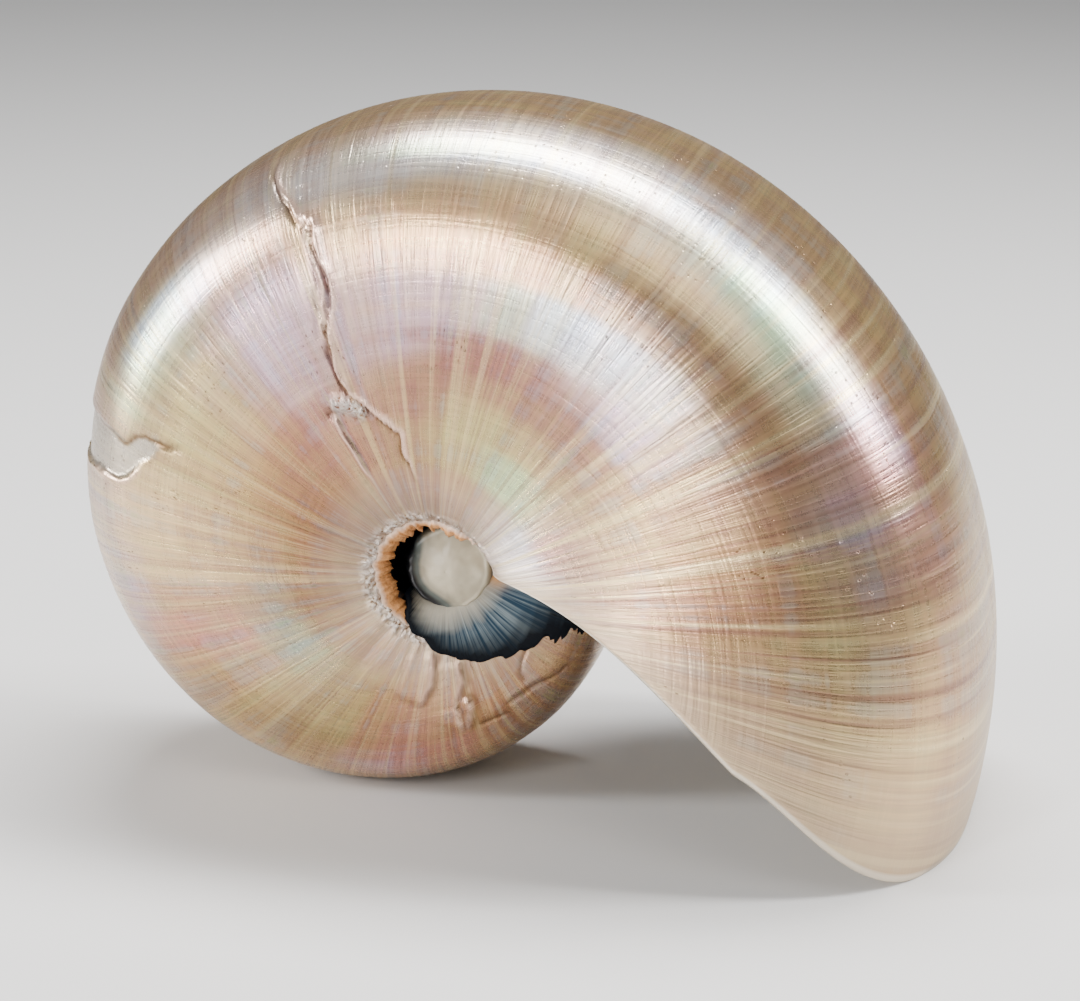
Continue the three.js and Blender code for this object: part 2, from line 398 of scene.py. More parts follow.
def rust_stain(x, z):
    """The orange-brown stain at the root of the lip, beside the callus."""
    right, up = RUST_AT
    away = ((x - HUB[0] - right) / 2.2) ** 2 + ((z - HUB[1] - up) / 1.7) ** 2
    return np.exp(-away)


def bell(distance, centre, reach):
    return np.exp(-(((distance - centre) / reach) ** 2))


def decay(distance, reach):
    """1 up to a path, then fading away on the side where the distance is positive."""
    return np.exp(-np.maximum(distance, 0) / reach)


def fade_ends(along, rise, fall):
    """1 along a path, rising from 0 over its first share and dying out after its last."""
    return smooth(along, 0, rise) * smooth(-along, -1, -fall)


def mark(masks, key, amount):
    masks[key] = np.maximum(masks[key], amount)


def growth_relief(g, q, side, hub):
    """Growth lines, slow swellings, spiral threads, and fluting round the umbilicus, in mm."""
    size = venter_radius(g) / LIP_RADIUS
    jitter = 0.012 * value_noise(q * 9, g * 3, 11)
    lines = value_noise((g + jitter) * 15, q * 2.2 + side * 9, 12)
    fine = value_noise((g + jitter) * 28, q * 5 + side * 17, 13)
    slow = value_noise(g * 5, q * 1.4 + side * 5, 14)
    height = size * (0.05 * lines + 0.02 * fine) * smooth(q, 0.0, 0.4) + 0.16 * size * slow
    height += 0.02 * size * value_noise(q * 26 + side * 31, g * 1.3, 15)
    flute = value_noise(g * 17, q * 1.2 + side * 3, 16)
    height += 0.12 * flute * smooth(-hub, -26, -12) * smooth(size, 0.2, 0.5)
    return height


def healed_break(x, z, near, flank, jig, height, masks):
    """The long healed break, whose older side stands proud of the newer, with a painted shadow beside its
    step on the newer side, and its short twin.
    """
    d, along = path_distance(x + jig, z + wander(x, z, 23, 0.5, 2.2), MAIN_SCAR)
    d = -d
    on = near * fade_ends(along, 0.06, 0.9) * flank
    step = smooth(-d, -0.3, 0.1) * (0.45 * decay(-d, 0.9) + 0.4 * decay(-d, 6.0))
    height += on * (0.95 * step - 0.35 * bell(d, 0.45, 0.4))
    mark(masks, "proud", on * bell(d, -0.5, 0.5))
    mark(masks, "shade", on * bell(d, 0.4, 0.5))
    mark(masks, "shade", 0.35 * on * smooth(d, 0, 0.4) * decay(d, 2.6))

    d, along = path_distance(x + jig, z, TWIN_SCAR)
    on = near * fade_ends(along, 0.15, 0.85)
    height += on * (0.3 * bell(d, 0, 0.5) - 0.2 * bell(d, -0.8, 0.6))
    mark(masks, "proud", 0.8 * on * bell(d, 0, 0.4))


def healed_patch(x, z, near, jig, height, masks):
    """The triangular healed patch: a thin pale edge, a rough top and a pit darkened with painted shade."""
    d, along = path_distance(x + 0.5 * jig, z, PATCH_EDGE)
    on = near * fade_ends(along, 0.1, 0.8)
    height += on * (0.35 * bell(d, 0, 0.45) - 0.35 * smooth(d, 0, 1.2) * decay(d, 3.5))
    mark(masks, "proud", on * bell(d, 0, 0.35))

    d, along = path_distance(x, z, PATCH_ROUGH)
    grain = value_noise(x * 2.3, z * 2.3, 31) + value_noise(x * 5.1, z * 5.1, 32)
    on = near * bell(d, 0, 1.5) * fade_ends(along, 0.08, 0.9)
    height += on * (0.32 + 0.3 * grain)
    mark(masks, "rough", on)
    pit = near * np.exp(-(((x - PATCH_PIT[0]) ** 2 + (z - PATCH_PIT[1]) ** 2) / 0.9))
    height -= 0.9 * pit
    mark(masks, "shade", pit)


def lifted_flake(x, z, near, height, masks):
    """The flake lifted off the back of the coil, sunk between a top edge darkened with painted shadow and a
    pale foot.
    """
    jig = wander(x, z, 25, 0.4)
    top, along_top = path_distance(x, z + jig, CHIP_TOP)
    low, along_low = path_distance(x, z + jig, CHIP_BOTTOM)
    inside = near * smooth(-top, 0.0, 0.8) * smooth(low, 0.0, 0.8) * smooth(-x, 61, 66)
    foot = near * smooth(-along_low, -1, -0.85)
    edge = near * smooth(-along_top, -1, -0.8) * bell(top, 0, 0.45)
    height -= 0.65 * inside * smooth(-x, 60, 70)
    height -= 0.55 * edge
    height += 0.25 * foot * bell(low, -0.2, 0.5)
    mark(masks, "shade", edge)
    mark(masks, "flake", inside)
    mark(masks, "proud", 0.7 * foot * bell(low, -0.3, 0.5))


def belly_marks(x, z, near, height, masks):
    """Ridges and cracks under the umbilicus, with painted shadow beside the ridges and painted shade in the
    cracks.
    """
    for k, path in enumerate(BELLY_RIDGES):
        d, along = path_distance(x + wander(x, z, 41 + k, 0.3), z, path)
        on = near * fade_ends(along, 0.1, 0.85)
        height += on * (0.45 * smooth(-d, -0.3, 0.3) * decay(-d, 3.0) - 0.2 * bell(d, 0.6, 0.5))
        mark(masks, "proud", 0.8 * on * bell(d, -0.2, 0.4))
        mark(masks, "shade", 0.7 * on * bell(d, 0.8, 0.6))
    for k, path in enumerate(BELLY_CRACKS):
        d, along = path_distance(x + wander(x, z, 51 + k, 0.3), z, path)
        on = near * fade_ends(along, 0.1, 0.85)
        height -= 0.3 * on * bell(d, 0, 0.4)
        mark(masks, "shade", 0.8 * on * bell(d, 0, 0.4))


def crusted_rim(x, z, g, q, side, hub, height, masks):
    """The crust on the broken umbilical rim."""
    crust = value_noise(x * 1.4, z * 1.4, 61) + 0.7 * value_noise(x * 3.1, z * 3.1, 62)
    beyond = hub - hole_radius(np.arctan2(z - HUB[1], x - HUB[0]), side)
    ring = smooth(beyond, -1.0, 0.1) * smooth(-beyond, -3.0, -0.9) * smooth(q, 0.6, 0.8)
    ring = ring * (g > -TURN + 0.4)
    height += 0.2 * ring * crust
    mark(masks, "rough", ring * smooth(crust, -1.3, 0.3))


def relief(points, g, loop):
    """Height in mm added along the normal of the outer surface, and the masks of damage and of painted shade.
    """
    x, z = points[..., 0], points[..., 2]
    near = np.broadcast_to(loop.side == NEAR, x.shape)
    q = np.broadcast_to(loop.q, x.shape)
    side = np.where(near, 1.0, 2.0)
    flank = smooth(q, 0.1, 0.3) * smooth(-q, -1.02, -0.98)
    hub = np.hypot(x - HUB[0], z - HUB[1])
    turn, angle = np.degrees(g), np.degrees(np.broadcast_to(loop.t, x.shape))
    masks = {key: np.zeros(x.shape) for key in ("proud", "shade", "rough", "flake", "pits", "rust")}
    masks["pits"] += np.exp(-(((angle - PITS_AT[1]) / 12) ** 2) - ((turn - PITS_AT[0]) / 24) ** 2)
    masks["rust"] += rust_stain(x, z)
    height = growth_relief(g, q, side, hub)
    jig = wander(x, z, 21, 0.5, 2.2)
    healed_break(x, z, near, flank, jig, height, masks)
    healed_patch(x, z, near, jig, height, masks)
    lifted_flake(x, z, near, height, masks)
    belly_marks(x, z, near, height, masks)
    crusted_rim(x, z, g, q, side, hub, height, masks)
    return height, masks


def open_hole(points, g, loop):
    """Drop the flanks away inside the broken umbilical rim, and say how far each point fell, 0 to 1."""
    x, y, z = points[..., 0], points[..., 1], points[..., 2]
    side = np.where(loop.side == NEAR, 1.0, 2.0)[None]
    angle = np.arctan2(z - HUB[1], x - HUB[0])
    within = hole_radius(angle, side) - np.hypot(x - HUB[0], z - HUB[1])
    drop = smooth(within, 0.0, 0.9) * hole_reach(angle) * (g > -TURN + 0.3) * (loop.q > 0.5)[None]
    lowered = np.sign(y) * np.minimum(np.abs(y), np.abs(y) - HOLE_DROP * drop)
    points[..., 1] = np.where(drop > 0, np.where(np.abs(y) > FLANK_BEYOND, lowered, y), y)
    # How far each point fell is also the mask of black painted into the hole as shade.
    return points, smooth(drop, 0.25, 0.7)


def lip_inset(s_back):
    """Wall thickness in mm at a distance, in radians of growth, behind the lip."""
    return LIP_WALL + (CHAMBER_WALL - LIP_WALL) * smooth(s_back, 0, THIN_REACH)


def shell_surface():
    """The whole skin: the outer surface, the rounded edge of the lip, the chamber and its septum."""
    s = stations()
    outer, g = place(OUTLINE, s, 0)
    outer = outer + SHIFT
    height, masks = relief(outer, g, OUTLINE)
    normals = vertex_normals(outer)
    outer, masks["hole_shade"] = open_hole(outer + normals * height[..., None], g, OUTLINE)
    over = np.linspace(0, math.pi, LIP_STEPS)[1:-1]
    band_turns = LIP_BULGE * np.sin(over)
    band_inset = LIP_WALL * (1 - np.cos(over)) / 2
    band, band_g = place(OUTLINE, np.minimum(s[-1] + band_turns, 0.02), band_inset)
    back = np.concatenate([np.linspace(0, THIN_REACH, 10), np.linspace(THIN_REACH, CHAMBER_TURN, 26)[1:]])
    inner, inner_g = place(OUTLINE, -back, lip_inset(back))
    dome = np.linspace(0, math.pi / 2, 10)[1:-1]
    bowl, bowl_g = place(OUTLINE, -CHAMBER_TURN - SEPTUM_DEPTH * np.sin(dome), CHAMBER_WALL, np.cos(dome))
    rest = np.concatenate([band, inner, bowl]) + SHIFT
    grid = np.concatenate([outer, rest])
    g_all = np.concatenate([g, band_g, inner_g, bowl_g])
    points = np.concatenate([grid.reshape(-1, 3), [grid[0].mean(0), grid[-1].mean(0)]])
    points[:, 2] = np.maximum(points[:, 2], 0)
    faces = capped_tube(len(grid), OUTLINE.count)
    q_all = np.broadcast_to(OUTLINE.q, g_all.shape)
    side_all = np.broadcast_to(OUTLINE.side, g_all.shape)
    inside = np.zeros(g_all.shape)
    inside[len(s) + 3:] = 1
    coords = np.stack([g_all, q_all * np.where(side_all == NEAR, 1, -1), inside], -1).reshape(-1, 3)
    coords = np.concatenate([coords, coords[:1], coords[-1:]])
    extras = {}
    for key, mask in masks.items():
        full = np.zeros(g_all.shape)
        full[: len(s)] = mask
        extras[key] = np.concatenate([full.ravel(), [0, 0]])
    extras["hub_mm"] = np.hypot(points[:, 0] - HUB[0], points[:, 2] - HUB[1])
    extras["shell_at"] = coords
    t_all = np.broadcast_to(OUTLINE.t, g_all.shape)
    tint = nacre_tint(g_all, q_all, t_all, np.where(side_all == NEAR, 1.0, 2.0)).reshape(-1, 3)
    extras["tint"] = np.concatenate([tint, tint[:1], tint[-1:]])
    behind_lip = -np.concatenate([s, s[-1] + 0 * band_turns, -back, np.full(len(dome), -CHAMBER_TURN)])
    behind = np.broadcast_to((behind_lip * LIP_RADIUS)[:, None], g_all.shape).ravel()
    extras["lip_mm"] = np.concatenate([behind, [99, 99]])
    return points, faces, extras


# Section angle, degrees, and the turn where the dark film stops there.
FILM_EDGE = [(0, -356), (40, -350), (63, -346), (84, -342), (93, -330), (101, -318), (108, -310),
             (117, -300), (133, -281), (148, -256), (180, -236)]


def film_edge(t, side):
    """Growth station at which the dark film on the older whorl stops."""
    angle, turn = np.array(FILM_EDGE, float).T
    edge = np.interp(np.degrees(t), angle, turn)
    at = np.degrees(t)
    ragged = value_noise(at / 5.0, side * 4.7, 71) + 0.7 * value_noise(at / 2.1, side * 2.1, 72)
    scallop = np.abs(value_noise(at / 9.0, side * 3.3, 73))
    return np.radians(edge + 2.2 * ragged + 3.5 * scallop + 7.0 * (side - 1))


def inner_lip_film():
    """The dark layer the animal lays on the older whorl inside its mouth and round the umbilicus."""
    q, side = OUTLINE.q, OUTLINE.side
    edge = film_edge(OUTLINE.t, np.where(side == NEAR, 1.0, 2.0))
    rows = 130
    share = np.linspace(0, 1, rows) ** 0.8
    s = FIRST_STATION + 0.3 + (edge - FIRST_STATION - 0.3)[None] * share[:, None]
    thick = FILM_THICKNESS * (1 - smooth(share, 0.985, 1.0))[:, None] * np.ones_like(s)
    thick[-1] = -0.4
    radius = venter_radius(s)
    r = radius * OUTLINE.rho - thick * OUTLINE.inward[:, 0]
    y = radius * side * OUTLINE.wide - thick * OUTLINE.inward[:, 1]
    lean, angle = 1 - r / radius, LIP_TURN - s
    x = r * np.cos(angle) + UMBILICUS_SHIFT[0] * lean
    z = r * np.sin(angle) + UMBILICUS_SHIFT[1] * lean
    grid = np.stack([x, y, z], -1) + SHIFT
    points = np.concatenate([grid.reshape(-1, 3), [grid[0].mean(0), grid[-1].mean(0)]])
    faces = capped_tube(rows, OUTLINE.count)
    to_edge = ((edge[None] - s) * radius * 0.3).ravel()
    coords = np.stack([s, np.broadcast_to(q * np.where(side == NEAR, 1, -1), s.shape), np.zeros(s.shape)], -1)
    coords = coords.reshape(-1, 3)
    extras = {
        "shell_at": np.concatenate([coords, coords[:1], coords[-1:]]),
        "edge_mm": np.concatenate([to_edge, [20, 0]]),
        "rust": rust_stain(points[:, 0], points[:, 2]),
        "hub_mm": np.hypot(points[:, 0] - HUB[0], points[:, 2] - HUB[1]),
    }
    return points, faces, extras


PLUG_RADIUS = 7.4
PLUG_FACE = 19.5
PLUG_AT = (0.7, 0.4)
# The hollow beside the callus, toward which the callus is painted darker as shade: its middle from the hub,
# mm, and the way toward the older shell.
HOLLOW_AT = (0.9, 0.8)
OLDER_WAY = (-0.906, -0.423)


def callus_plug(side):
    """The rounded callus that closes the umbilicus, with a black hollow round its older side: painted shade
    darkens the callus toward that side, and the skirt dropping into the hollow is painted black as shade.
    """
    rings, spokes = 64, 160
    angle = np.linspace(0, TURN, spokes, endpoint=False)
    swing = 1.7 * np.cos(angle), 1.7 * np.sin(angle)
    ragged = value_noise(swing[0], swing[1] + side * 9, 84)
    ragged = ragged + 0.7 * value_noise(swing[0] * 4, swing[1] * 4, 85)
    rows = []
    for u in np.linspace(0, 1, rings)[1:]:
        reach = PLUG_RADIUS * (1 + 0.04 * ragged)
        if u < 0.7:
            v = u / 0.7
            radius, drop = reach * v, 2.6 * v**2.2
            drop = drop - 0.35 * np.exp(-(((v - 0.95) / 0.04) ** 2)) * (0.6 + 0.4 * ragged)
        else:
            v = (u - 0.7) / 0.3
            radius, drop = reach * (1 + 0.75 * v), 2.6 + 9 * v**0.7
        rows.append(np.stack([
            HUB[0] + PLUG_AT[0] + radius * np.cos(angle),
            side * (PLUG_FACE - drop) * np.ones_like(angle),
            HUB[1] + PLUG_AT[1] + radius * np.sin(angle),
        ], -1))
    grid = np.array(rows)
    x, z = grid[..., 0], grid[..., 2]
    grid[..., 1] += side * (0.35 * value_noise(x / 3.1, z / 3.1, 81) + 0.08 * value_noise(x, z, 82))
    middle = [HUB[0] + PLUG_AT[0], side * PLUG_FACE, HUB[1] + PLUG_AT[1]]
    points = np.concatenate([grid.reshape(-1, 3), [middle, grid[-1].mean(0)]])
    faces = capped_tube(len(grid), spokes)
    if side == NEAR:
        faces = [f[::-1] for f in faces]
    x, z = points[:, 0] - HUB[0], points[:, 2] - HUB[1]
    # Painted shade: darker toward the older side round the hollow, and black on the skirt that drops into it.
    right, up = x - HOLLOW_AT[0], z - HOLLOW_AT[1]
    out = np.hypot(right, up)
    older = (OLDER_WAY[0] * right + OLDER_WAY[1] * up) / np.maximum(out, 0.1)
    shade_and_pale_rim = smooth(older, -0.15, 0.85) * smooth(out, 2.6, 8.2)
    shade_and_pale_rim = np.maximum(shade_and_pale_rim, smooth(np.hypot(x - PLUG_AT[0], z - PLUG_AT[1]), 7.3, 8.2))
    return points, faces, {"shade_and_pale_rim": shade_and_pale_rim}


def umbilical_wall(side, flank):
    """The broken orange-brown wall between the crusted rim and the hollow beside the callus."""
    steps = 260
    angle = np.linspace(HOLE_FROM - 0.02, HOLE_TO + 0.03, steps)
    seed = 1.0 if side == NEAR else 2.0
    rim = hole_radius(angle, seed)
    ragged = value_noise(angle * 11, seed * 4, 86) + 0.7 * value_noise(angle * 29, seed * 6, 87)
    width = (2.1 + 0.5 * ragged) * smooth(np.linspace(0, 1, steps), 0, 0.12) ** 0.5
    width = np.maximum(width * smooth(-np.linspace(0, 1, steps), -1, -0.93) ** 0.5, 0.15)
    profile = [(0.35, 0.35), (-0.05, 0.12), (-0.35, 0.6), (-0.7, 1.7), (-1.0, 3.2), (-0.7, 4.6), (0.8, 2.6)]
    rows = []
    for share, depth in profile:
        radius = rim + (share * width if share < -0.1 else share)
        x, z = HUB[0] + radius * np.cos(angle), HUB[1] + radius * np.sin(angle)
        crumbs = 0.16 * value_noise(x * 2.3, z * 2.3, 88) + 0.1 * value_noise(x * 5, z * 5, 89)
        y = side * (flank(rim, angle) - depth + crumbs)
        rows.append(np.stack([x, y, z], -1))
    grid = np.stack(rows, 1)
    points = np.concatenate([grid.reshape(-1, 3), [grid[0].mean(0), grid[-1].mean(0)]])
    faces = capped_tube(steps, len(profile))
    if side == NEAR:
        faces = [f[::-1] for f in faces]
    pale = np.zeros((steps, len(profile)))
    pale[:, :2] = (0.75, 0.45)
    return points, faces, {"shade_and_pale_rim": np.concatenate([pale.ravel(), [0, 0]])}


EVEN_OVER = 9


def flank_height(points, side):
    """A function that finds the flank's distance from the mid-plane just outside the umbilical rim."""
    on = (points[:, 1] * side > 15) & (np.hypot(points[:, 0] - HUB[0], points[:, 2] - HUB[1]) < 16)
    x, y, z = points[on].T
    out = np.hypot(x - HUB[0], z - HUB[1])
    bearing = np.mod(np.arctan2(z - HUB[1], x - HUB[0]), TURN)

    def look(rim, angle):
        found = []
        for r, a in zip(rim, angle):
            near = np.abs(out - r - 0.25) + np.abs((bearing - a + math.pi) % TURN - math.pi) * r
            close = np.argsort(near)[:6]
            found.append(np.max(np.abs(y[close])))
        found = np.array(found)
        half = EVEN_OVER // 2
        padded = np.concatenate([np.full(half, found[0]), found, np.full(half, found[-1])])
        return np.convolve(padded, np.ones(EVEN_OVER) / EVEN_OVER, "valid")

    return look


# ---------------------------------------------------------------- materials
class Nodes:
    """A small helper that adds and links shader nodes."""

    def __init__(self, name):
        self.material = bpy.data.materials.new(name)
        self.material.use_nodes = True
        self.tree = self.material.node_tree
        self.tree.nodes.clear()
        self.shader = self.tree.nodes.new("ShaderNodeBsdfPrincipled")
        output = self.tree.nodes.new("ShaderNodeOutputMaterial")
        self.tree.links.new(self.shader.outputs[0], output.inputs[0])

    def add(self, kind, **settings):
        node = self.tree.nodes.new(kind)
        for key, value in settings.items():
            setattr(node, key, value)
        return node

    def link(self, source, target):
        self.tree.links.new(source, target)

    def put(self, socket, value):
        if isinstance(value, bpy.types.NodeSocket):
            self.link(value, socket)
        else:
            socket.default_value = value

    def attribute(self, name, vector=False):
        node = self.add("ShaderNodeAttribute", attribute_name=name)
        return node.outputs["Vector" if vector else "Fac"]

    def math(self, operation, a, b=0.0, clamp=False):
        node = self.add("ShaderNodeMath", operation=operation, use_clamp=clamp)
        self.put(node.inputs[0], a)
        self.put(node.inputs[1], b)
        return node.outputs[0]

    def scaled(self, vector, scale):
        node = self.add("ShaderNodeVectorMath", operation="MULTIPLY")
        self.link(vector, node.inputs[0])
        node.inputs[1].default_value = scale
        return node.outputs[0]

    def noise(self, vector, scale, detail=2.0, roughness=0.5, distortion=0.0):
        node = self.add("ShaderNodeTexNoise", noise_dimensions="3D")
        self.link(vector, node.inputs["Vector"])
        node.inputs["Scale"].default_value = scale
        node.inputs["Detail"].default_value = detail
        node.inputs["Roughness"].default_value = roughness
        node.inputs["Distortion"].default_value = distortion
        return node.outputs["Fac"]

    def ramp(self, factor, stops, interpolation="EASE"):
        node = self.add("ShaderNodeValToRGB")
        node.color_ramp.interpolation = interpolation
        elements = node.color_ramp.elements
        while len(elements) < len(stops):
            elements.new(0.5)
        for element, (position, colour) in zip(elements, stops):
            element.position = position
            element.color = (*colour, 1)
        self.put(node.inputs[0], factor)
        return node.outputs[0]

    def level(self, factor, low, high):
        node = self.add("ShaderNodeMapRange", clamp=True)
        self.put(node.inputs["Value"], factor)
        node.inputs["From Min"].default_value = low
        node.inputs["From Max"].default_value = high
        return node.outputs[0]

    def mix(self, factor, a, b, blend="MIX"):
        node = self.add("ShaderNodeMix", data_type="RGBA", blend_type=blend)
        self.put(node.inputs[0], factor)
        for socket, value in ((node.inputs[6], a), (node.inputs[7], b)):
            self.put(socket, (*value, 1) if isinstance(value, tuple) else value)
        return node.outputs[2]

    def bump(self, height, strength, distance, normal=None):
        node = self.add("ShaderNodeBump")
        node.inputs["Strength"].default_value = strength
        node.inputs["Distance"].default_value = distance
        self.link(height, node.inputs["Height"])
        if normal:
            self.link(normal, node.inputs["Normal"])
        return node.outputs[0]


CHALK = (0.64, 0.57, 0.50)
CRUST = (0.84, 0.76, 0.70)
BROKEN_ORANGE = (0.50, 0.24, 0.08)
LIP_CREAM = (0.56, 0.45, 0.33)
BROWN_GRAIN_AND_SHADE = (0.10, 0.045, 0.02)
SCAR_LIP = (0.90, 0.62, 0.50)
FLAKE_GREY = (0.50, 0.47, 0.42)
CHAMBER_PEARL = (0.62, 0.56, 0.50)
LIP_EDGE = (0.80, 0.72, 0.60)
HOLE_SHADE_BLACK = (0.004, 0.005, 0.008)
LINE_DIM, LINE_BRIGHT = (0.86, 0.84, 0.84), (1.75, 1.7, 1.55)
THREAD_DIM, THREAD_BRIGHT = (0.9, 0.87, 0.86), (1.7, 1.65, 1.5)
FILM_BLUE, FILM_GREY = (0.012, 0.03, 0.05), (0.20, 0.24, 0.25)
FILM_CREAM = (0.40, 0.36, 0.28)
FILM_BLACK = (0.002, 0.003, 0.005)
CALLUS_DULL, CALLUS_PALE = (0.40, 0.34, 0.235), (0.58, 0.51, 0.375)
PLUG_SHADE_GREY, PLUG_SHADE_BLUE, PLUG_SHADE_BLACK = (0.66, 0.67, 0.68), (0.16, 0.21, 0.26), (0.008, 0.01, 0.018)
WALL_BROWN, WALL_ORANGE, WALL_RIM = (0.34, 0.13, 0.035), (0.78, 0.38, 0.14), (0.70, 0.60, 0.52)
FLOOR_GREY = (0.62, 0.61, 0.60)


def striped_colour(n, at, weave):
    """The tint, under a faint rainbow in stripes that follow growth lines and threads."""
    across = n.noise(n.scaled(at, (15.0, 1.4, 1.0)), 1.0, 2.0, 0.55, 0.3)
    along = n.noise(n.scaled(at, (1.5, 19.0, 1.0)), 1.0, 2.0, 0.55, 0.4)
    hue = n.math("ADD", across, n.math("MULTIPLY", along, 0.6))
    hue = n.math("ADD", hue, n.math("MULTIPLY", weave, 0.35))
    hue = n.math("FRACT", n.math("MULTIPLY", hue, 1.35))
    rainbow = n.ramp(hue, [(0.0, CREAM), (0.2, PEACH), (0.38, ROSE), (0.55, LILAC),
                           (0.72, TEAL), (0.86, OLIVE), (1.0, CREAM)])
    return n.mix(0.17, n.attribute("tint", vector=True), rainbow)


def streaked(n, at, colour, growth, threads, younger):
    """Bright lines and threads in patches, and mauve and cream bands that deepen to the mouth."""
    patches = n.noise(n.scaled(at, (3.0, 3.5, 1.0)), 1.0, 2.0, 0.5)
    lit = n.math("MULTIPLY", n.level(growth, 0.42, 0.82), n.level(patches, 0.3, 0.6))
    colour = n.mix(0.6, colour, n.ramp(lit, [(0.0, LINE_DIM), (1.0, LINE_BRIGHT)], "LINEAR"), "MULTIPLY")
    bands = n.noise(n.scaled(at, (30.0, 0.7, 1.0)), 1.0, 2.0, 0.6)
    near_mouth = n.math("SUBTRACT", 1.0, n.level(n.attribute("lip_mm"), 40.0, 130.0))
    streaky = n.math("MULTIPLY_ADD", near_mouth, 0.4)
    streaky.node.inputs[2].default_value = 0.25
    colour = n.mix(n.math("MULTIPLY", n.level(bands, 0.56, 0.66), streaky), colour, MAUVE)
    colour = n.mix(n.math("MULTIPLY", n.level(bands, 0.46, 0.36), streaky), colour, CREAM)
    patches = n.math("MULTIPLY", n.level(patches, 0.65, 0.38), younger)
    lit = n.math("MULTIPLY", n.level(threads, 0.45, 0.85), patches)
    return n.mix(0.4, colour, n.ramp(lit, [(0.0, THREAD_DIM), (1.0, THREAD_BRIGHT)], "LINEAR"), "MULTIPLY")


def edged(n, colour, frost, near_lip, inside, weave):
    """The frosted ring round the umbilicus, the matt cream edge of the lip, and the lining."""
    colour = n.mix(n.math("MULTIPLY", frost, 0.65), colour, CHALK)
    colour = n.mix(n.math("MULTIPLY", near_lip, 0.6), colour, LIP_CREAM)
    edge = n.math("SUBTRACT", 1.0, n.level(n.attribute("lip_mm"), 0.3, 0.9))
    colour = n.mix(n.math("MULTIPLY", edge, 0.8), colour, LIP_EDGE)
    lining = n.mix(n.level(weave, 0.35, 0.65), CHAMBER_PEARL, CREAM)
    return n.mix(inside, colour, lining)


def tiny_pits(n, at):
    """Scattered dark pits, thickest along the shoulder: 1 in a pit, 0 outside."""
    cells = n.add("ShaderNodeTexVoronoi", feature="F1")
    n.link(n.scaled(at, (60.0, 55.0, 1.0)), cells.inputs["Vector"])
    cells.inputs["Scale"].default_value = 1.0
    pit = n.math("SUBTRACT", 1.0, n.level(cells.outputs["Distance"], 0.10, 0.17))
    patchy = n.level(n.noise(n.scaled(at, (4.0, 7.0, 1.0)), 1.0, 1.0, 0.5), 0.56, 0.64)
    return n.math("MULTIPLY", pit, n.math("MAXIMUM", patchy, n.attribute("pits")))


def worn(n, colour, rough, crumbs, pit):
    """Crust, flake, pale scar edges, painted shadow and shade by scars, ridges, cracks and pits, the rust
    stain, and black painted into the hollow as shade.
    """
    colour = n.mix(n.math("MULTIPLY", rough, n.level(crumbs, 0.36, 0.5)), colour, CRUST)
    colour = n.mix(n.math("MULTIPLY", rough, n.level(crumbs, 0.40, 0.34)), colour, BROWN_GRAIN_AND_SHADE)
    colour = n.mix(n.math("MULTIPLY", n.attribute("flake"), 0.7), colour, FLAKE_GREY)
    # Painted shadow beside the scars, the ridges and the flake's top edge, and painted shade in the cracks
    # and the patch's pit.
    colour = n.mix(n.math("MULTIPLY", n.attribute("shade"), 0.8), colour, BROWN_GRAIN_AND_SHADE)
    colour = n.mix(n.math("MULTIPLY", n.attribute("proud"), 0.8), colour, SCAR_LIP)
    # Painted shade in the tiny pits.
    colour = n.mix(n.math("MULTIPLY", pit, 0.7), colour, BROWN_GRAIN_AND_SHADE)
    colour = n.mix(n.attribute("rust"), colour, BROKEN_ORANGE)
    # Painted shade: black where the flanks drop into the hole.
    return n.mix(n.attribute("hole_shade"), colour, HOLE_SHADE_BLACK)


